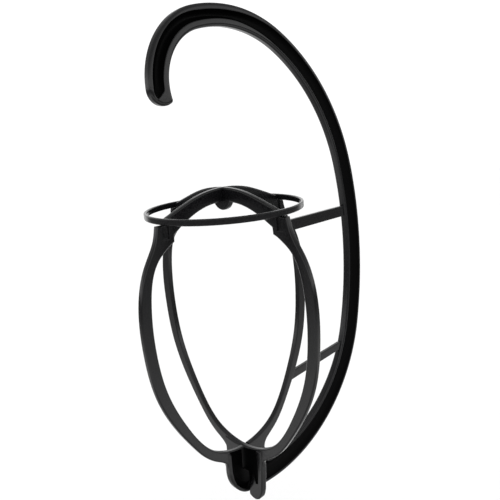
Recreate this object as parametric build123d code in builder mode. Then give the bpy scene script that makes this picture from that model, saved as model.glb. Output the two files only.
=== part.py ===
"""Hanging wig stand: a hooked arm, an egg-shaped cage of two crossed loops, and a crown ring.

Three injection mouldings in black plastic, pushed together by hand. Millimetres, +Z up.
The origin is the seat of the hook: the point of its inner edge that rests on a rail.
The arm's loop lies in the XZ plane and the cross loop in the plane at right angles to it.
"""

from build123d import *
import os

os.makedirs("parts", exist_ok=True)

# ---- Where the cage hangs under the hook seat -------------------------------------------
cage_axis_x = -9.9  # vertical axis of the cage
ring_centre_z = -116.8  # middle height of the crown ring

# ---- Crown ring ---------------------------------------------------------------------------
ring_radius = 54.0  # outer
ring_wall = 2.1
ring_height = 4.2
ring_edge_round = 0.7
seat_clearance = 0.5  # between the ring and the posts that it drops over
ledge_gap = 0.1  # under the ring

# ---- Loops, heights from the middle of the ring, radii from the cage axis ---------------------
sheet = 4.0  # thickness of both loops
dome_top = 14.4
dome_depth = 9.6
post_top = 1.2
ledge_end = 57.8
loop_bottom = -185.0
pocket_radius = 51.5  # blind pockets in the rib heads: distance from the axis, height and size
pocket_height = -7.0
pocket_size = (5.0, 8.8)
pocket_depth = 1.2

# ---- Arm and hook --------------------------------------------------------------------------------
arm_depth = 6.4  # front to back
rim = 2.3  # raised border around the trough
trough_depth = 4.0
apex_width = 14.2
# bends from the top of the hook towards the tip: radius of the centre line, angle, width at its end
hook_bends = [(104.0, 12.6, 14.6), (40.8, 80.7, 15.7)]
# bends from the top of the hook down the arm to the hub
arm_bends = [(104.0, 31.0, 14.6), (156.0, 44.9, 17.4), (284.0, 27.8, 19.4), (112.0, 87.1, 19.2)]
tip_radius = 10.4  # the outer edge rounds the tip, up to a corner with the inner edge
tip_inner_turn = 13.2  # degrees that the inner edge runs on to that corner
tip_corner_round = 1.2
tip_half_turn = 65  # degrees round the tip to the middle of its arc
trough_turn = 4.7  # degrees that the trough runs on, before the solid tip

# ---- Struts between the arm's loop and the arm ---------------------------------------------------
strut_thickness = 3.2
upper_strut = [(61.0, -19.5), (136.0, -19.5), (136.0, -28.2), (61.0, -28.2)]
lower_strut = [(54.0, -140.0), (123.6, -136.0), (119.8, -142.8), (54.0, -146.8)]

# ---- Hub under the cage ----------------------------------------------------------------------------
hub_top = -177.6
keel_root = 27.0  # half the width of a keel where it leaves the ribs
keel_root_height = -178.4
keel_corner = (20.9, -182.2)  # middle of the hollow corner between a rib and a keel's side
keel_half_width = 18.8
lap_height = -198.0  # where the two keels meet half way
slot_play = 0.15
past_edge = 6.0  # how far the cuts for the hub's notches run past the keels' edges
prong_bottom = -220.6
prong_thickness = 5.2
prong_web = 2.4
keel_shoulder = -187.0
trough_top = -181.0
arm_keel_foot = [(-18.9, -193.4), (-16.9, -201.6), (-11.6, -209.4), (-3.6, -214.9)]  # left side, down
arm_keel_corner = (14.0, -208.0)  # on the right, hidden in the arm's root
trough_foot = [(-9.0, -207.6), (-14.6, -200.6)]  # lower left edge of the trough
trough_side_end = -200.0
prong_side_end = (16.9, -209.0)
prong_foot = [(14.4, -216.8), (8.4, prong_bottom), (5.2, -220.1)]
prong_inner_end = -217.6
# recess in a prong, from the middle out: along the rim, then round the top of the drop-shaped end
prong_recess = [(13.3, trough_top), (13.1, -198.0), (11.6, -204.5), (8.8, -198.0), (5.9, -205.2)]
recess_bottom = -213.0

# ---- Crossing at the top of the cage ------------------------------------------------------------------
dome_lap = dome_top - dome_depth / 2
tab_radius = 8.6
tab_centre = 7.4

ring_inner = ring_radius - ring_wall
post_face = ring_inner - seat_clearance
ledge = -ring_height / 2 - ledge_gap
prong_slot = arm_depth / 2 + slot_play  # half the gap between the prongs

cage = (cage_axis_x, 0, ring_centre_z)
main_plane = Plane(origin=cage, x_dir=(1, 0, 0), z_dir=(0, -1, 0))
cross_plane = Plane(origin=cage, x_dir=(0, 1, 0), z_dir=(1, 0, 0))


def both_sides(points):
    """A curve's right-hand points, joined to their mirror image on the left."""
    return [(-x, z) for x, z in reversed(points) if x > 0] + points


def loop_outline():
    """Outer outline of a loop: dome, ring seats, ribs and bottom, from right to left and round."""
    Spline(
        *both_sides(
            [(0, dome_top), (15.5, 13.2), (24.0, 11.3), (33.0, 8.3), (42.0, 4.9), (post_face, post_top)]
        )
    )
    for side in (-1, 1):
        seat = [(post_face, post_top), (post_face, ledge), (ledge_end, ledge)]
        Polyline(*[(side * x, z) for x, z in seat])
    Spline(
        *both_sides(
            [
                (0, loop_bottom),
                (20.0, -182.2),
                (36.8, -171.2),
                (48.0, -157.0),
                (59.7, -138.6),
                (71.9, -110.3),
                (76.7, -79.5),
                (76.0, -48.8),
                (68.4, -25.4),
                (60.2, -11.2),
                (ledge_end, ledge),
            ]
        )
    )


def loop_window():
    """Inner outline of a loop: under the dome, the thick heads below the ring, and the ribs."""
    head = [(45.0, -9.6), (45.4, -14.2), (48.6, -15.7)]
    Spline(*both_sides([(0, dome_top - dome_depth), (17.0, 3.4), (34.0, -3.0), head[0]]))
    for side in (-1, 1):
        Polyline(*[(side * x, z) for x, z in head])
    Spline(
        *both_sides(
            [
                (0, hub_top),
                (17.4, -174.7),
                (30.0, -168.2),
                (40.2, -157.4),
                (50.8, -140.0),
                (63.4, -110.3),
                (68.4, -79.5),
                (67.7, -48.8),
                (59.0, -24.0),
                head[2],
            ]
        )
    )


def arm_stations(bends, start_angle, turn):
    """Points along one branch of the arm's centre line, each with its outward normal and half width."""
    x, z, angle = -cage_axis_x, -ring_centre_z + apex_width / 2, start_angle
    half = apex_width / 2
    stations = []
    for radius, sweep, end_width in bends:
        for step in range(3):
            part = Vector(radius, 0).rotate(Axis.Z, angle)
            swing = Vector(radius, 0).rotate(Axis.Z, angle + turn * sweep * step / 3)
            width = half + (end_width / 2 - half) * step / 3
            stations.append((Vector(x, z) - part + swing, swing.normalized(), width))
        swing = Vector(radius, 0).rotate(Axis.Z, angle + turn * sweep)
        part = Vector(radius, 0).rotate(Axis.Z, angle)
        end = Vector(x, z) - part + swing
        x, z, half = end.X, end.Y, end_width / 2
        angle += turn * sweep
    stations.append((Vector(x, z), swing.normalized(), half))
    return stations


def hook_with_end(turn):
    """The whole band, whose last bend at the hook runs on by some degrees."""
    end = (hook_bends[-1][0], turn, hook_bends[-1][2])
    return arm_stations(arm_bends, 90, -1)[::-1] + arm_stations(hook_bends + [end], 90, 1)[1:]


band = arm_stations(arm_bends, 90, -1)[::-1] + arm_stations(hook_bends, 90, 1)[1:]
inner_band = hook_with_end(tip_inner_turn)
trough_band = hook_with_end(trough_turn)
tip_start, tip_normal, tip_half = band[-1]
tip_centre = tip_start + tip_normal * (tip_half - tip_radius)
tip_bottom = tip_centre + tip_radius * tip_normal.rotate(Axis.Z, tip_half_turn)


def edge_points(stations, side, inset):
    """Points of a band's outer (side 1) or inner (side -1) edge, moved in by the inset."""
    return [centre + normal * side * (half - inset) for centre, normal, half in stations]


def keel_side(side):
    """Hollow corner from under the rib to the keel's side, on the right (1) or left (-1)."""
    root = (side * keel_root, keel_root_height)
    ThreePointArc(root, (side * keel_corner[0], keel_corner[1]), (side * keel_half_width, keel_shoulder))


def head_pockets(plane):
    """Blind pockets on both faces of the two rib heads, under the ring."""
    for face in (1, -1):
        with BuildSketch(plane.offset(face * sheet / 2)) as pockets:
            with Locations((pocket_radius, pocket_height), (-pocket_radius, pocket_height)):
                Rectangle(*pocket_size)
        extrude(pockets.sketch, amount=-face * pocket_depth, mode=Mode.SUBTRACT)


def keel_top():
    """Top edge of a keel, hidden in the ribs that it carries."""
    Line((-keel_root, keel_root_height), (keel_root, keel_root_height))


def loop_plate(plane):
    """One egg-shaped loop, a flat plate with blind pockets in its two heads."""
    with BuildSketch(plane.offset(-sheet / 2)) as outline:
        with BuildLine() as outer_edge:
            loop_outline()
        make_face(outer_edge.line)
        with BuildLine() as window_edge:
            loop_window()
        make_face(window_edge.line, mode=Mode.SUBTRACT)
    extrude(outline.sketch, amount=sheet)
    head_pockets(plane)


# ==== Main frame: hook, arm, struts, first loop and slotted keel, one moulding ====
with BuildPart() as main_frame:
    # the arm, a tapering band along its centre line with a rounded tip
    with BuildSketch(main_plane.offset(-arm_depth / 2)) as arm_face:
        with BuildLine():
            outer = Spline(*edge_points(band, 1, 0))
            inner = Spline(*edge_points(inner_band, -1, 0))
            Line(outer @ 0, inner @ 0)
            ThreePointArc(outer @ 1, tip_bottom, inner @ 1)
        make_face()
        fillet(arm_face.vertices().sort_by_distance(inner @ 1)[0], tip_corner_round)

        # the keel that ends the arm under the cage
        with BuildLine():
            keel_side(-1)
            Spline((-keel_half_width, keel_shoulder), *arm_keel_foot, outer @ 0)
            Polyline(outer @ 0, arm_keel_corner, (keel_half_width, keel_shoulder))
            keel_side(1)
            keel_top()
        make_face()
    extrude(amount=arm_depth)

    loop_plate(main_plane)

    # the trough along the arm and into the keel, open to the front
    with BuildSketch(main_plane.offset(arm_depth / 2)):
        with BuildLine():
            trough_outer = Spline(*edge_points(trough_band, 1, rim))
            trough_inner = Spline(*edge_points(trough_band, -1, rim))
            Line(trough_outer @ 0, trough_inner @ 0)
            Line(trough_outer @ 1, trough_inner @ 1)
        make_face()
        with BuildLine():
            Polyline(
                trough_outer @ 0,
                *trough_foot,
                (rim - keel_half_width, keel_shoulder),
                (rim - keel_half_width, trough_top),
                (keel_half_width - rim, trough_top),
                (keel_half_width - rim, trough_side_end),
                close=True,
            )
        make_face()
    extrude(amount=-trough_depth, mode=Mode.SUBTRACT)

    # the struts
    with BuildSketch(main_plane.offset(-strut_thickness / 2)):
        for corners in (upper_strut, lower_strut):
            with BuildLine():
                Polyline(*corners, close=True)
            make_face()
    extrude(amount=strut_thickness)

    # half-lap notches: open downwards at the dome, open upwards at the hub
    with BuildSketch(main_plane.offset(-arm_depth)):
        with Locations((0, dome_lap - dome_depth / 2)):
            Rectangle(sheet + 2 * slot_play, dome_depth)
        with Locations((0, (lap_height + hub_top + past_edge) / 2)):
            Rectangle(prong_thickness + 2 * slot_play, hub_top + past_edge - lap_height)
    extrude(amount=2 * arm_depth, mode=Mode.SUBTRACT)
main_frame.part.label = "main_frame"
export_step(main_frame.part, "parts/main_frame.step")


# ==== Cross frame: second loop, with the tab under its notch and its two-pronged keel ====
with BuildPart() as cross_frame:
    loop_plate(cross_plane)

    # half-round tab that carries the notch at the dome
    with BuildSketch(cross_plane.offset(-sheet / 2)):
        with Locations((0, tab_centre)):
            Circle(tab_radius)
        with Locations((0, dome_lap + tab_radius)):
            Rectangle(4 * tab_radius, 2 * tab_radius, mode=Mode.SUBTRACT)
    extrude(amount=sheet)

    # the keel, with two prongs that straddle the arm's keel
    with BuildSketch(cross_plane.offset(-prong_thickness / 2)):
        with BuildLine():
            for side in (-1, 1):
                keel_side(side)
                foot = [(side * x, z) for x, z in prong_foot]
                side_end = (side * prong_side_end[0], prong_side_end[1])
                Line((side * keel_half_width, keel_shoulder), side_end)
                ThreePointArc(side_end, foot[0], foot[1])
                ThreePointArc(foot[1], foot[2], (side * prong_slot, prong_inner_end))
            Line((-prong_slot, prong_inner_end), (prong_slot, prong_inner_end))
            keel_top()
        make_face()
    extrude(amount=prong_thickness)

    # shallow recess on both faces of each prong, above its solid drop-shaped end
    for face in (-1, 1):
        with BuildSketch(cross_plane.offset(face * prong_thickness / 2)):
            with BuildLine():
                Polyline((0, trough_top), *prong_recess, (0, recess_bottom), close=True)
            make_face()
            mirror(about=Plane.YZ)
        extrude(amount=-face * (prong_thickness - prong_web) / 2, mode=Mode.SUBTRACT)

    # half-lap notches: open upwards at the dome, open downwards at the hub
    with BuildSketch(cross_plane.offset(-prong_thickness)):
        with Locations((0, dome_lap + dome_depth / 2)):
            Rectangle(sheet + 2 * slot_play, dome_depth)
        with Locations((0, (lap_height + prong_bottom - past_edge) / 2)):
            Rectangle(2 * prong_slot, lap_height - prong_bottom + past_edge)
    extrude(amount=2 * prong_thickness, mode=Mode.SUBTRACT)
cross_frame.part.label = "cross_frame"
export_step(cross_frame.part, "parts/cross_frame.step")


# ==== Crown ring: a flat band that drops over the four posts onto the ledges ====
with BuildPart() as crown_ring:
    with BuildSketch(Plane(origin=cage).offset(-ring_height / 2)):
        Circle(ring_radius)
        Circle(ring_inner, mode=Mode.SUBTRACT)
    extrude(amount=ring_height)
    fillet(crown_ring.edges(), ring_edge_round)
crown_ring.part.label = "crown_ring"
export_step(crown_ring.part, "parts/crown_ring.step")
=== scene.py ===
"""Hanging wig stand in glossy black plastic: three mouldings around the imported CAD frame.

Lengths in this script are in millimetres from the cage: its vertical axis, and the middle of the
crown ring's height. The arm and the first loop lie in the plane across Y, the cross loop in the
plane across X. Meshes are written in metres, in the frame of the CAD.
"""

import math

import bmesh
import bpy
import numpy as np
from mathutils import Matrix, Vector
from mathutils.geometry import tessellate_polygon


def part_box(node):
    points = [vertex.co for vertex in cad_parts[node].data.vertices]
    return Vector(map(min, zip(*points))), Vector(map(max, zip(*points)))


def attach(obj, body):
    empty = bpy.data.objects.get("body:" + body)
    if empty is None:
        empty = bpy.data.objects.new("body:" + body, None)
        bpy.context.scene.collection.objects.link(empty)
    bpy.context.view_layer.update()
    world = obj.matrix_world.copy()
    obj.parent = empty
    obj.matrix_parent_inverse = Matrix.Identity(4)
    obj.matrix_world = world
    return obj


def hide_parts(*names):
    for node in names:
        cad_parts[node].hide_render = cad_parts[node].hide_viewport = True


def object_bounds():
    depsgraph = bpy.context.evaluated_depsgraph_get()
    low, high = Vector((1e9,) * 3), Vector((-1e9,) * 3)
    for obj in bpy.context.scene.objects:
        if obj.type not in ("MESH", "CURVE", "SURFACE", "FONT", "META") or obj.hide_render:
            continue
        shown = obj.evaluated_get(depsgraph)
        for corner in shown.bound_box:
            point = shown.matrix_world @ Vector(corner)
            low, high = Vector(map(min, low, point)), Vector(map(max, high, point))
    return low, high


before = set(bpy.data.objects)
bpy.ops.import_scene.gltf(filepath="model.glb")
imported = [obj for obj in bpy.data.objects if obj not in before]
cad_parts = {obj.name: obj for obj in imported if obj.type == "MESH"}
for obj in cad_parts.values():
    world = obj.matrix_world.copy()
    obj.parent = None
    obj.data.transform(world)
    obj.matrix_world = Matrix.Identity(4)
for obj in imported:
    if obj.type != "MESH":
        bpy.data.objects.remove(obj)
cad_low, cad_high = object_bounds()

# ---- Where the cage stands in the frame ---------------------------------------------------
ring_low, ring_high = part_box("crown_ring")
cage = (ring_low + ring_high) * 500.0  # millimetres

# ---- Sizes, in millimetres -------------------------------------------------------------------
ring_radius = 54.0
ring_wall = 2.1
ring_height = 4.2
ring_edge = 0.7
sheet = 4.0  # thickness of the loops
sheet_edge = 1.1  # rounding of their edges
arm_depth = 6.4
arm_back_edge = 2.4
rim = 2.8  # bead around the trough
hook_rim = 4.8  # wider along the inner edge of the hook
top_rim = 3.9  # wider along the outer edge over the hook's top
bead_fall = 1.6  # how far the bead drops towards the arm's edge
trough_depth = 4.8
apex_width = 14.2
hook_bends = [(104.0, 12.6, 14.6), (40.8, 80.7, 15.7)]  # radius, degrees, width at the end
arm_bends = [(104.0, 31.0, 14.6), (156.0, 44.9, 17.4), (284.0, 27.8, 19.4), (112.0, 87.1, 19.2)]
tip_radius = 10.4  # the outer edge rounds the tip, up to a corner with the inner edge
tip_inner_turn = 13.2  # degrees that the inner edge runs on to that corner
trough_turn = 5.5  # degrees that the trough runs on, before the solid tip
keel_half = 18.8
keel_top = -176.2  # at the sides; the middle follows the ribs down
keel_crest = [(9.0, -178.1), (-9.0, -178.1)]
keel_hollow = [(0.0, -178.8), (-9.0, -178.0), (-17.0, -175.9), (-17.0, -191.0), (-16.0, -198.0)]
keel_hollow += [(-13.8, -203.6), (-9.0, -208.8), (-3.0, -211.8), (8.0, -208.0)]
keel_hollow += [(17.2, -194.0), (17.2, -188.0)]
hollow_mouth, hollow_floor = -6.0, 1.2  # the mouth lies clear of the arm's front
lap_height = -198.0
slot_play = 0.15
half_slot = arm_depth / 2 + slot_play  # half the gap between the prongs
strut_thickness = 3.2
strut_edge = 0.6
upper_strut = [(61.0, -28.2), (134.8, -28.2), (134.8, -19.5), (61.0, -19.5)]
lower_strut = [(54.0, -146.8), (119.8, -142.8), (123.6, -136.0), (54.0, -140.0)]
prong_thickness = 5.2
prong_edge = 0.9
prong_web = 2.4
prong_bottom = -220.6
dome_top = 14.4
dome_lap = 9.6
hub_top = -177.6
post_face = 51.4  # the ring drops over the posts onto the ledges
post_top = 1.2
ledge = -2.2
tab_radius = 8.6
tab_centre = 7.4
tab_edge = 0.9
pocket_radius = 51.5  # distance of the pockets in the heads from the cage's axis
pocket_half = 2.5
pocket_low, pocket_high = -11.4, -2.9
pocket_depth = 1.5
spacing = 2.0  # between points along a curve


# ==== Lines in a plane ====
def curve_through(points, gap=spacing):
    """A smooth line through the points, a natural cubic spline, sampled about every gap."""
    p = np.array(points, float)
    step = np.linalg.norm(np.diff(p, axis=0), axis=1)
    n = len(p)
    a = np.eye(n)
    b = np.zeros_like(p)
    for i in range(1, n - 1):
        a[i, i - 1 : i + 2] = step[i - 1], 2 * (step[i - 1] + step[i]), step[i]
        b[i] = 6 * ((p[i + 1] - p[i]) / step[i] - (p[i] - p[i - 1]) / step[i - 1])
    bend = np.linalg.solve(a, b)
    line = []
    for i in range(n - 1):
        count = max(1, round(step[i] / gap))
        for t in np.arange(count) / count:
            u, v, h = 1 - t, t, step[i]
            straight = u * p[i] + v * p[i + 1]
            line.append(straight + h * h / 6 * ((u**3 - u) * bend[i] + (v**3 - v) * bend[i + 1]))
    return line + [p[-1]]


def both_sides(points):
    """A right-hand line joined to its mirror image, from left to right."""
    return [(-x, z) for x, z in points[::-1] if x > 0] + list(points)


def anticlockwise(loop):
    loop = np.array(loop, float)
    x, z = loop.T
    area = np.sum(x * np.roll(z, -1) - np.roll(x, -1) * z)
    return loop if area > 0 else loop[::-1]


def inward(loop):
    """Mitred inward normals of an anticlockwise closed loop."""
    before = loop - np.roll(loop, 1, axis=0)
    after = np.roll(loop, -1, axis=0) - loop
    n1 = np.stack([-before[:, 1], before[:, 0]], 1) / np.linalg.norm(before, axis=1)[:, None]
    n2 = np.stack([-after[:, 1], after[:, 0]], 1) / np.linalg.norm(after, axis=1)[:, None]
    middle = n1 + n2
    return middle / np.maximum(np.sum(middle * n1, axis=1), 0.35)[:, None]


# ==== Closed shells ====
def shell(name, rings, axis, shade_from=None):
    """Mesh object through rings of closed loops, capped at both ends.

    rings is a list of (list of loops, depth): each ring holds the outline and any window. The
    loops' first coordinate runs along X when axis is "y", or along Y when axis is "x"; depth
    runs along the axis itself. Faces from the given ring onwards get the second material, painted
    shade.
    """
    mesh = bpy.data.meshes.new(name)
    points, faces = [], []
    counts = [len(loop) for loop in rings[0][0]]
    per_ring = sum(counts)
    for loops, depth in rings:
        for a, z in np.concatenate(loops):
            across = (a, depth) if axis == "y" else (depth, a)
            place = (cage.x + across[0], cage.y + across[1], cage.z + z)
            points.append(tuple(c / 1000 for c in place))
    for k in range(len(rings) - 1):
        start = k * per_ring
        for count in counts:
            for i in range(count):
                j = (i + 1) % count
                faces.append((start + i, start + j, start + per_ring + j, start + per_ring + i))
            start += count
    for k in (0, len(rings) - 1):
        flat = [[Vector((a, z, 0)) for a, z in loop] for loop in rings[k][0]]
        faces += [tuple(k * per_ring + i for i in tri) for tri in tessellate_polygon(flat)]
    mesh.from_pydata(points, [], faces)
    bm = bmesh.new()
    bm.from_mesh(mesh)
    bmesh.ops.recalc_face_normals(bm, faces=bm.faces)
    bm.to_mesh(mesh)
    bm.free()
    mesh.materials.append(gloss)
    mesh.materials.append(hollow_shade)
    if shade_from is not None:
        first = shade_from * per_ring
        for face in mesh.polygons:
            face.material_index = int(min(face.vertices) >= first)
    thing = bpy.data.objects.new(name, mesh)
    bpy.context.scene.collection.objects.link(thing)
    return thing


def rounded_edge(low, high, radius, steps=5):
    """(inset, depth) of a plate's section from its low face to its high face, edges rounded."""
    section = []
    for k in range(steps + 1):
        angle = math.pi / 2 * k / steps
        section.append((radius * (1 - math.sin(angle)), low + radius * (1 - math.cos(angle))))
    return section + [(inset, low + high - depth) for inset, depth in reversed(section)]


def plate(name, outline, windows, section, axis, shade_from=None):
    """Flat moulding: an outline, windows, and (inset, depth) steps as the section of its edges."""
    outline = anticlockwise(outline)
    windows = [anticlockwise(window) for window in windows]
    edges = [(outline, inward(outline))] + [(window, -inward(window)) for window in windows]
    rings = [([loop + normal * inset for loop, normal in edges], depth) for inset, depth in section]
    return shell(name, rings, axis, shade_from)


def recess(name, outline, face, floor, axis, shade_from=None):
    """Cutting tool for a blind recess from a face down to its floor, its mouth and floor eased."""
    out = math.copysign(1.0, face - floor)
    section = [(-0.45, face + 0.7 * out), (-0.45, face), (0.0, face - 0.45 * out)]
    section += [(0.0, floor + 0.5 * out), (0.15, floor + 0.15 * out), (0.5, floor)]
    return plate(name, outline, [], section, axis, shade_from)


def rectangle(x0, z0, x1, z1):
    return [(x0, z0), (x1, z0), (x1, z1), (x0, z1)]


def fuse(name, parts, cuts):
    """One closed moulding: the parts joined and the cuts taken away."""
    base = parts[0]
    for operation, tools in (("UNION", parts[1:]), ("DIFFERENCE", cuts)):
        for tool in tools:
            step = base.modifiers.new(operation, "BOOLEAN")
            step.operation = operation
            step.object = tool
            step.solver = "MANIFOLD"
    bpy.context.view_layer.update()
    whole = base.evaluated_get(bpy.context.evaluated_depsgraph_get())
    mesh = bpy.data.meshes.new_from_object(whole)
    for thing in parts + cuts:
        bpy.data.objects.remove(thing)
    piece = bpy.data.objects.new(name, mesh)
    mesh.name = name
    bpy.context.scene.collection.objects.link(piece)
    return piece


# ==== The arm: bends, edges and trough ====
def branch(bends, start, turn):
    """Points down one side of the arm's centre line, from the hook's top.

    Each is a place, an outward normal and half the arm's width there.
    """
    place = np.array([-cage.x, -cage.z + apex_width / 2])
    angle, half = math.radians(start), apex_width / 2
    stations = []
    for radius, sweep, width in bends:
        centre = place - radius * np.array([math.cos(angle), math.sin(angle)])
        count = max(4, round(radius * math.radians(sweep) / spacing))
        for k in range(count):
            swing = angle + turn * math.radians(sweep) * k / count
            normal = np.array([math.cos(swing), math.sin(swing)])
            half_here = half + (width / 2 - half) * k / count
            stations.append((centre + radius * normal, normal, half_here))
        angle += turn * math.radians(sweep)
        normal = np.array([math.cos(angle), math.sin(angle)])
        place, half = centre + radius * normal, width / 2
    return stations + [(place, normal, half)]


def arm_channel():
    """The arm with its keel: the outline, its inward normals, the trough's edge and its middle."""
    down = branch(arm_bends, 90, -1)[::-1]
    radius, _, width = hook_bends[-1]
    hook = branch(hook_bends + [(radius, tip_inner_turn, width)], 90, 1)[1:]
    rounded = len(branch(hook_bends, 90, 1)[1:])  # stations before the rounded tip
    stations = down + hook
    place = np.array([s[0] for s in stations])
    normal = np.array([s[1] for s in stations])
    half = np.array([s[2] for s in stations])[:, None]
    outer, inner = place + normal * half, place - normal * half
    from_top = np.arange(len(stations)) - len(down) + 1  # stations past the hook's top
    inner_rim = np.interp(from_top, [-26, -6], [rim, hook_rim])[:, None]
    outer_rim = np.interp(from_top, [-24, -4, 8, 20], [rim, top_rim, top_rim, rim])[:, None]
    trough_outer = place + normal * (half - outer_rim)
    trough_inner = place - normal * (half - inner_rim)

    # the keel's left side and foot, which lead into the arm's outer edge
    left = [(-keel_half, keel_top), (-keel_half, -183.5), (-keel_half, -187.0)]
    foot = [(-keel_half, -187.0), (-18.9, -193.4), (-16.9, -201.6), (-11.6, -209.4), (-3.6, -214.9)]
    foot = curve_through(foot + [outer[0]])[1:-1]

    # the tip: an arc from the outer edge round to the inner edge, and the trough's slanted end
    last = len(down) + rounded
    centre = outer[last - 1] - normal[last - 1] * tip_radius
    start = math.atan2(normal[last - 1][1], normal[last - 1][0]) % (2 * math.pi)
    stop = inner[-1] - centre
    swing = np.linspace(start, math.atan2(stop[1], stop[0]) % (2 * math.pi), 20)[1:-1]
    tip = [centre + tip_radius * np.array([math.cos(a), math.sin(a)]) for a in swing] + [inner[-1]]
    turn = math.radians(trough_turn)
    end_normal = np.array([math.cos(start + turn), math.sin(start + turn)])
    hub = place[last - 1] - normal[last - 1] * radius
    along = np.array([-end_normal[1], end_normal[0]])
    far = hub + end_normal * (radius + width / 2 - rim)
    near = hub + end_normal * (radius - width / 2 + hook_rim)
    across = far - near
    end = [trough_outer[last - 1], far - along * 0.6, far - across * 0.13 + along * 1.2]
    end += [far - across * 0.3 + along * 1.3, near + across * 0.35 - along * 0.4]
    end += [near + across * 0.08 - along * 2.2, trough_inner[last - 2]]
    end = np.array(curve_through(end, 0.4))
    run = np.concatenate([[0], np.cumsum(np.linalg.norm(np.diff(end, axis=0), axis=1))])
    inner_steps = len(stations) - last  # inner stations beside the rounded tip
    steps = np.linspace(0, run[-1], len(tip) + inner_steps + 2)[1:-1]
    trough_end = np.stack([np.interp(steps, run, end[:, 0]), np.interp(steps, run, end[:, 1])], 1)

    # the inner edge runs back down to the keel's right side
    join = int(np.argmax(inner[:, 0] > keel_half + 4.0))
    right = [(keel_half + 2.6, inner[join, 1] + 0.6), (keel_half + 0.8, -196.4), (keel_half, -193.6)]
    right += [(keel_half, -191.0), (keel_half, -188.6), (9.0, -182.9), (0.8, -178.8)]
    right += keel_crest[1:]

    inner_run = inner[join:-1][::-1]
    outline = np.concatenate([left, foot, outer[:last], tip, inner_run, right])
    inset = inward(outline)
    trough = outline + inset * rim
    middle = trough + inset * 6.0
    first = len(left) + len(foot)
    trough[first : first + last] = trough_outer[:last]
    middle[first : first + last] = place[:last]
    second = first + last
    third = second + len(trough_end)
    trough[second:third] = trough_end
    middle[second:third] = hub + end_normal * radius - along * 6.0
    count = last - 1 - join
    trough[third : third + count] = trough_inner[join : last - 1][::-1]
    middle[third : third + count] = place[join : last - 1][::-1]
    return outline, inset, trough, middle


def make_arm():
    """The arm: rounded back, bead round the front, and the trough in the darker copy of the material,
    painted shade.
    """
    outline, inset, trough, middle = arm_channel()
    front, back = -arm_depth / 2, arm_depth / 2
    slope, lip = rim * 0.78, rim * 0.2  # the bead falls away outwards, with a tight inner lip
    rings = []
    for angle in np.linspace(0, math.pi / 2, 7):  # rounded back
        depth = back - arm_back_edge * (1 - math.cos(angle))
        rings.append(([outline + inset * arm_back_edge * (1 - math.sin(angle))], depth))
    for angle in np.linspace(0, math.pi / 2, 7):  # outer side of the bead
        depth = front + bead_fall * (1 - math.sin(angle))
        rings.append(([outline + inset * slope * (1 - math.cos(angle))], depth))
    reach = np.linalg.norm(trough - middle, axis=1)
    to_trough = (trough - middle) / np.maximum(reach, 0.01)[:, None]
    # from low in the lip onwards the trough is painted shade
    shade_from = len(rings) + 4  # low in the lip
    for angle in np.linspace(0, math.pi / 2, 6 + 1)[:6]:  # inner lip of the bead
        depth = front + lip * (1 - math.cos(angle))
        rings.append(([trough + to_trough * lip * (1 - math.sin(angle))], depth))
    for reach in 0.9 * (np.arange(9) / 8) ** 1.6:  # hollow of the trough
        depth = front + lip + (trough_depth - lip) * (1 - (1 - reach) ** 2) ** 0.8
        rings.append(([trough + (middle - trough) * reach], depth))
    return shell("arm", rings, "y", shade_from)


# ==== The loops ====
def loop_outline():
    """Outer edge of a loop: dome, posts and ledges, ribs, and hollow corners at the keel."""
    crown = [(0, dome_top), (15.5, 13.2), (24.0, 11.3), (33.0, 8.3), (42.0, 4.9)]
    crown += [(post_face, post_top)]
    dome = curve_through(both_sides(crown))
    rib = [(57.8, ledge), (60.2, -11.2), (68.4, -25.4), (76.0, -48.8), (76.7, -79.5), (71.9, -110.3)]
    rib += [(59.7, -138.6), (48.0, -157.0), (36.8, -171.2)]
    rib += [(20.0, -182.2), (0.0, -185.0), (-20.0, -182.2)]
    rib = [point for point in curve_through(rib) if point[0] > 28.0]
    corner = curve_through([rib[-1], (23.4, -181.2), (20.2, -184.2), (keel_half, -189.0)])
    right = [(post_face, ledge)] + rib[:-1] + corner
    return dome + right + [(-x, z) for x, z in right[::-1]]


def loop_window():
    """Inner edge of a loop: under the dome, the thick heads under the ring, and the ribs."""
    under = curve_through(both_sides([(0, 4.8), (17.0, 3.4), (34.0, -3.0), (45.0, -9.6)]))
    rib = [(48.6, -15.7), (59.0, -24.0), (67.7, -48.8), (68.4, -79.5), (63.4, -110.3), (50.8, -140.0)]
    rib += [(40.2, -157.4), (30.0, -168.2), (17.4, -174.7)]
    rib += [(0.0, hub_top), (-17.4, -174.7), (-30.0, -168.2)]
    right = [(45.4, -14.2)] + [point for point in curve_through(rib) if point[0] > 0.5]
    return under + right + [(0, hub_top)] + [(-x, z) for x, z in right[::-1]]


def make_loop(name, axis):
    section = rounded_edge(-sheet / 2, sheet / 2, sheet_edge)
    return plate(name, loop_outline(), [loop_window()], section, axis)


def head_pockets(axis):
    """Cutting tools for the blind pockets on both faces of both heads."""
    tools = []
    for side in (-1, 1):
        for face in (-sheet / 2, sheet / 2):
            middle = side * pocket_radius
            pocket = rectangle(middle - pocket_half, pocket_low, middle + pocket_half, pocket_high)
            floor = math.copysign(sheet / 2 - pocket_depth, face)
            tools.append(recess("pocket", pocket, face, floor, axis))
    return tools


def make_prongs():
    """The cross keel: two prongs that straddle the arm's keel."""
    side = [(keel_half, keel_top), (keel_half, -187.0), (18.3, -195.0), (17.4, -203.5), (16.8, -209.0)]
    foot = [(16.8, -209.0), (15.6, -213.4), (12.8, -217.6), (8.9, prong_bottom + 1.6), (5.2, -218.0)]
    foot = curve_through(foot)
    right = keel_crest[:1] + side[:-1] + foot + [(half_slot, -216.8), (half_slot, lap_height)]
    outline = right + [(-x, z) for x, z in right[::-1]]
    section = rounded_edge(-prong_thickness / 2, prong_thickness / 2, prong_edge)
    return plate("prongs", outline, [], section, "x")


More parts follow.
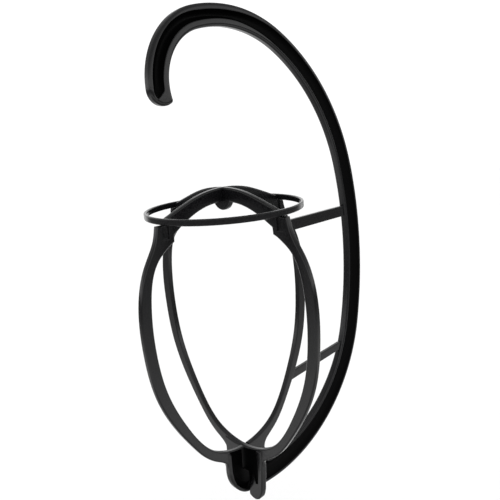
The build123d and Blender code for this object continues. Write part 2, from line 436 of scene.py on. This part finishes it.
def prong_recesses():
    """Cutting tools for the recess on both faces of the cross keel, above its two solid ends; the
    recess takes the darker copy, painted shade.
    """
    drop = [(11.4, -204.5), (10.4, -200.4), (8.8, -198.0), (7.2, -201.4), (5.9, -205.2)]
    drop = curve_through(drop, 1.0)
    near = [(0.0, -178.8), (-7.0, -178.2), (-14.0, -176.9), (-14.0, -198.0), (-13.2, -204.0)]
    near += [(-y, z) for y, z in drop] + [(-2.0, -211.0)]
    outline = near + [(2.0, -211.0)] + drop[::-1] + [(13.2, -204.0), (14.0, -198.0), (14.0, -188.0)]
    tools = []
    for face in (-prong_thickness / 2, prong_thickness / 2):
        floor = math.copysign(prong_web / 2, face)
        # the recess walls and floor get painted shade
        tools.append(recess("prong_recess", outline, face, floor, "x", 0))
    return tools


# ==== Band that follows a path: the crown ring ====
def add_node(tree, kind, settings=(), **links):
    """Adds a node, sets its properties, and links or sets its inputs."""
    node = tree.nodes.new(kind)
    for name, value in dict(settings).items():
        setattr(node, name, value)
    for name, value in links.items():
        socket = node.inputs[int(name[1:]) if name[0] == "_" else name.replace("_", " ")]
        if isinstance(value, bpy.types.NodeSocket):
            tree.links.new(value, socket)
        else:
            socket.default_value = value
    return node


def band_tree():
    """Geometry Nodes tree: a bar with rounded edges that follows a curve."""
    tree = bpy.data.node_groups.new("Band along a path", "GeometryNodeTree")
    face = tree.interface
    face.new_socket("Geometry", in_out="INPUT", socket_type="NodeSocketGeometry")
    for name in ("Width", "Depth", "Edge Round"):
        face.new_socket(name, in_out="INPUT", socket_type="NodeSocketFloat")
    face.new_socket("Round Steps", in_out="INPUT", socket_type="NodeSocketInt")
    face.new_socket("Across", in_out="INPUT", socket_type="NodeSocketVector")
    face.new_socket("Finish", in_out="INPUT", socket_type="NodeSocketMaterial")
    face.new_socket("Geometry", in_out="OUTPUT", socket_type="NodeSocketGeometry")
    given = tree.nodes.new("NodeGroupInput").outputs
    path = add_node(
        tree,
        "GeometryNodeSetCurveNormal",
        {"mode": "FREE"},
        Curve=given["Geometry"],
        Normal=given["Across"],
    )
    profile = add_node(
        tree, "GeometryNodeCurvePrimitiveQuadrilateral", Width=given["Depth"], Height=given["Width"]
    )
    eased = add_node(
        tree,
        "GeometryNodeFilletCurve",
        {"mode": "POLY"},
        Curve=profile.outputs[0],
        Radius=given["Edge Round"],
        Count=given["Round Steps"],
    )
    swept = add_node(
        tree,
        "GeometryNodeCurveToMesh",
        Curve=path.outputs[0],
        Profile_Curve=eased.outputs[0],
        Fill_Caps=True,
    )
    smooth = add_node(tree, "GeometryNodeSetShadeSmooth", Geometry=swept.outputs[0])
    real = add_node(tree, "GeometryNodeRealizeInstances", Geometry=smooth.outputs[0])
    finished = add_node(
        tree, "GeometryNodeSetMaterial", Geometry=real.outputs[0], Material=given["Finish"]
    )
    out = tree.nodes.new("NodeGroupOutput")
    tree.links.new(finished.outputs[0], out.inputs[0])
    return tree


def band(name, points, width, depth, edge, across, finish):
    """A closed bar with rounded edges: its width in the path's plane, its depth across it."""
    line = bpy.data.curves.new(name, "CURVE")
    line.dimensions = "3D"
    spline = line.splines.new("POLY")
    spline.points.add(len(points) - 1)
    for point, (x, y, z) in zip(spline.points, points):
        point.co = ((cage.x + x) / 1000, (cage.y + y) / 1000, (cage.z + z) / 1000, 1)
    spline.use_cyclic_u = True
    holder = bpy.data.objects.new(name, line)
    bpy.context.scene.collection.objects.link(holder)
    sweep = holder.modifiers.new("band", "NODES")
    sweep.node_group = band_of
    sockets = band_of.interface.items_tree
    given = {socket.name: socket.identifier for socket in sockets if socket.in_out == "INPUT"}
    sizes = {"Width": width / 1000, "Depth": depth / 1000, "Edge Round": edge / 1000}
    for key, value in {**sizes, "Round Steps": 5, "Across": across, "Finish": finish}.items():
        sweep[given[key]] = value
    bpy.context.view_layer.update()
    whole = holder.evaluated_get(bpy.context.evaluated_depsgraph_get())
    mesh = bpy.data.meshes.new_from_object(whole)
    bpy.data.objects.remove(holder)
    bm = bmesh.new()
    bm.from_mesh(mesh)
    bmesh.ops.remove_doubles(bm, verts=bm.verts, dist=1e-6)
    bmesh.ops.recalc_face_normals(bm, faces=bm.faces)
    bm.to_mesh(mesh)
    bm.free()
    thing = bpy.data.objects.new(name, mesh)
    bpy.context.scene.collection.objects.link(thing)
    return thing


# ==== Materials ====
flow_size = 14.0  # millimetres between swells in the skin
grain_size = 1.6  # millimetres; real moulded grain is finer, and drawn this coarse it shows


def linear(code):
    """An sRGB hex colour as linear red, green, blue and alpha."""
    parts = [int(code[i : i + 2], 16) / 255 for i in (1, 3, 5)]
    return [c / 12.92 if c <= 0.04045 else ((c + 0.055) / 1.055) ** 2.4 for c in parts] + [1.0]


def moulded_black(name, dark, pale, reflectance, roughness):
    """Black high-impact polystyrene, injection moulded, with faint flow ripple and fine grain.

    The ripple bends long reflections a little, and the grain softens their edges.
    """
    material = bpy.data.materials.new(name)
    material.use_nodes = True
    tree = material.node_tree
    skin = tree.nodes["Principled BSDF"]
    skin.inputs["IOR"].default_value = 1.55
    skin.inputs["Specular IOR Level"].default_value = reflectance
    place = add_node(tree, "ShaderNodeTexCoord").outputs["Object"]
    noise = "ShaderNodeTexNoise"
    scale = 1000.0 / flow_size
    flow = add_node(tree, noise, Vector=place, Scale=scale, Detail=3.0, Roughness=0.55).outputs[0]
    scale = 1000.0 / grain_size
    grain = add_node(tree, noise, Vector=place, Scale=scale, Detail=2.0, Roughness=0.5).outputs[0]
    tone = add_node(tree, "ShaderNodeMix", {"data_type": "RGBA"}, _0=flow)
    tone.inputs[6].default_value = linear(dark)
    tone.inputs[7].default_value = linear(pale)
    tree.links.new(tone.outputs[2], skin.inputs["Base Color"])
    dull = add_node(
        tree, "ShaderNodeMapRange", _0=grain, _1=0.3, _2=0.7, _3=roughness, _4=roughness + 0.09
    )
    tree.links.new(dull.outputs[0], skin.inputs["Roughness"])
    ripple = add_node(tree, "ShaderNodeBump", Strength=0.12, Distance=0.0004, Height=flow)
    fine = add_node(tree, "ShaderNodeBump", Strength=0.08, Distance=0.0001, Height=grain)
    tree.links.new(ripple.outputs[0], fine.inputs["Normal"])
    tree.links.new(fine.outputs[0], skin.inputs["Normal"])
    return material


# ==== Build ====
# the gloss copy gives bright edges; the second copy, darker, less reflective and rougher, is painted
# shade that keeps the trough and the recesses almost black
gloss = moulded_black("Black polystyrene, gloss moulded", "#070708", "#101012", 0.5, 0.15)
hollow_shade_name = "Black polystyrene, rougher, with painted shade in hollows"
hollow_shade = moulded_black(hollow_shade_name, "#010101", "#030304", 0.07, 0.42)
band_of = band_tree()

# each strut ends inside the rib on the left and along the arm's inner edge on the right
strut_section = rounded_edge(-strut_thickness / 2, strut_thickness / 2, strut_edge)
struts = [plate("strut", corners, [], strut_section, "y") for corners in (upper_strut, lower_strut)]
half_sheet = sheet / 2 + slot_play
dome_notch = rectangle(-half_sheet, -6.0, half_sheet, dome_lap)
half_hub = prong_thickness / 2 + slot_play
hub_notch = rectangle(-half_hub, lap_height, half_hub, -170.0)
through = [(0.0, -12.0), (0.0, 12.0)]
main_frame = fuse(
    "main_frame_moulding",
    [make_arm(), make_loop("loop", "y")] + struts,
    [
        plate("notch", dome_notch, [], through, "y"),
        plate("notch", hub_notch, [], through, "y"),
        # the keel's hollow gets painted shade on its walls and floor
        plate("hollow", keel_hollow, [], [(0.0, hollow_mouth), (0.0, hollow_floor)], "y", 0),
    ]
    + head_pockets("y"),
)

half_round = np.linspace(-math.pi, 0, 25)
tab = [(tab_radius * math.cos(a), tab_centre + tab_radius * math.sin(a)) for a in half_round]
tab += [(tab_radius, 9.2), (-tab_radius, 9.2)]
tab = plate("tab", tab, [], rounded_edge(-sheet / 2, sheet / 2, tab_edge), "x")
upper_notch = rectangle(-half_sheet, dome_lap, half_sheet, 20.0)
lower_notch = rectangle(-half_slot, -224.0, half_slot, lap_height)
cross_frame = fuse(
    "cross_frame_moulding",
    [make_loop("cross_loop", "x"), make_prongs(), tab],
    [plate("notch", upper_notch, [], through, "x"), plate("notch", lower_notch, [], through, "x")]
    + head_pockets("x")
    + prong_recesses(),
)

ring_middle = ring_radius - ring_wall / 2
turns = np.arange(180) / 180 * 2 * math.pi
ring_path = [(ring_middle * math.cos(a), ring_middle * math.sin(a), 0.0) for a in turns]
crown_ring = band(
    "crown_ring_moulding", ring_path, ring_wall, ring_height, ring_edge, (0, 0, 1), gloss
)

for piece, node, body in (
    (main_frame, "main_frame", "stand"),
    (cross_frame, "cross_frame", "stand"),
    (crown_ring, "crown_ring", "ring"),
):
    mesh = piece.data
    mesh.shade_smooth()
    mesh.set_sharp_from_angle(angle=math.radians(32))
    even = piece.modifiers.new("even_shading", "WEIGHTED_NORMAL")
    even.keep_sharp = True
    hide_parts(node)
    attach(piece, body)

# ==== Stage: pale floor, soft light, camera ====
floor_drop = 0.09  # metres under the object, which hangs
reach = 3.0
level = cad_low.z - floor_drop
corners = [(x, y, level) for x, y in rectangle(-reach, -reach, reach, reach)]
floor_mesh = bpy.data.meshes.new("floor")
floor_mesh.from_pydata(corners, [], [(0, 1, 2, 3)])
floor = bpy.data.objects.new("floor", floor_mesh)
bpy.context.scene.collection.objects.link(floor)
paper = bpy.data.materials.new("White studio paper")
paper.use_nodes = True
sheen = paper.node_tree.nodes["Principled BSDF"]
sheen.inputs["Base Color"].default_value = linear("#f6f6f6")
sheen.inputs["Roughness"].default_value = 0.9
floor_mesh.materials.append(paper)
floor.visible_glossy = False

# the room: white all round, but gloss shows a dim band just below the horizon, between a lit
# ceiling and a lit table
view_along = (0.679, 0.701, -0.220)
white = (1.15, 1.15, 1.15, 1)
world = bpy.data.worlds.new("studio")
bpy.context.scene.world = world
world.use_nodes = True
room = world.node_tree
direction = add_node(room, "ShaderNodeTexCoord").outputs["Generated"]
height = add_node(room, "ShaderNodeSeparateXYZ", _0=direction).outputs[2]
share = add_node(room, "ShaderNodeMapRange", _0=height, _1=-1.0, _2=1.0)
ramp = add_node(room, "ShaderNodeValToRGB", _0=share.outputs[0])
stops = ramp.color_ramp.elements
# sine of the elevation, brightness
room_light = [(-1.0, 0.35), (-0.66, 0.4), (-0.54, 0.85), (-0.45, 0.78), (-0.40, 0.58)]
room_light += [(-0.29, 0.33), (-0.12, 0.12), (-0.05, 0.15), (0.03, 1.1), (0.12, 1.0)]
room_light += [(0.28, 0.5), (0.5, 0.3), (0.9, 0.35), (1.0, 0.8)]
while len(stops) < len(room_light):
    stops.new(0.5)
for stop, (sine, bright) in zip(stops, room_light):
    stop.position = (sine + 1) / 2
    stop.color = (bright, bright, bright, 1)
# the white backdrop shines in gloss seen at a grazing angle
dot = {"operation": "DOT_PRODUCT"}
behind = add_node(room, "ShaderNodeVectorMath", dot, _0=direction, _1=view_along)
facing = add_node(room, "ShaderNodeMapRange", _0=behind.outputs["Value"], _1=0.64, _2=0.82)
mirrored = add_node(room, "ShaderNodeMix", {"data_type": "RGBA"}, _0=facing.outputs[0])
mirrored.inputs[7].default_value = white
room.links.new(ramp.outputs[0], mirrored.inputs[6])
rays = add_node(room, "ShaderNodeLightPath")
shown = add_node(room, "ShaderNodeMix", {"data_type": "RGBA"}, _0=rays.outputs["Is Glossy Ray"])
shown.inputs[6].default_value = white
room.links.new(mirrored.outputs[2], shown.inputs[7])
room.links.new(shown.outputs[2], room.nodes["Background"].inputs["Color"])

camera_data = bpy.data.cameras.new("camera")
camera_data.lens = 42.67
camera_data.sensor_width = 36.0
camera_data.clip_end = 20.0
camera = bpy.data.objects.new("camera", camera_data)
bpy.context.scene.collection.objects.link(camera)
bpy.context.scene.camera = camera
forward = Vector(view_along).normalized()
up = Vector((0.209, 0.102, 0.972))
right = forward.cross(up).normalized()
up = right.cross(forward).normalized()
turn = Matrix((right, up, -forward)).transposed()
camera_place = (-0.2762, -0.2969, -0.0575)
camera.matrix_world = Matrix.Translation(camera_place) @ turn.to_4x4()

bpy.context.scene.view_settings.view_transform = "Standard"

bpy.context.view_layer.update()
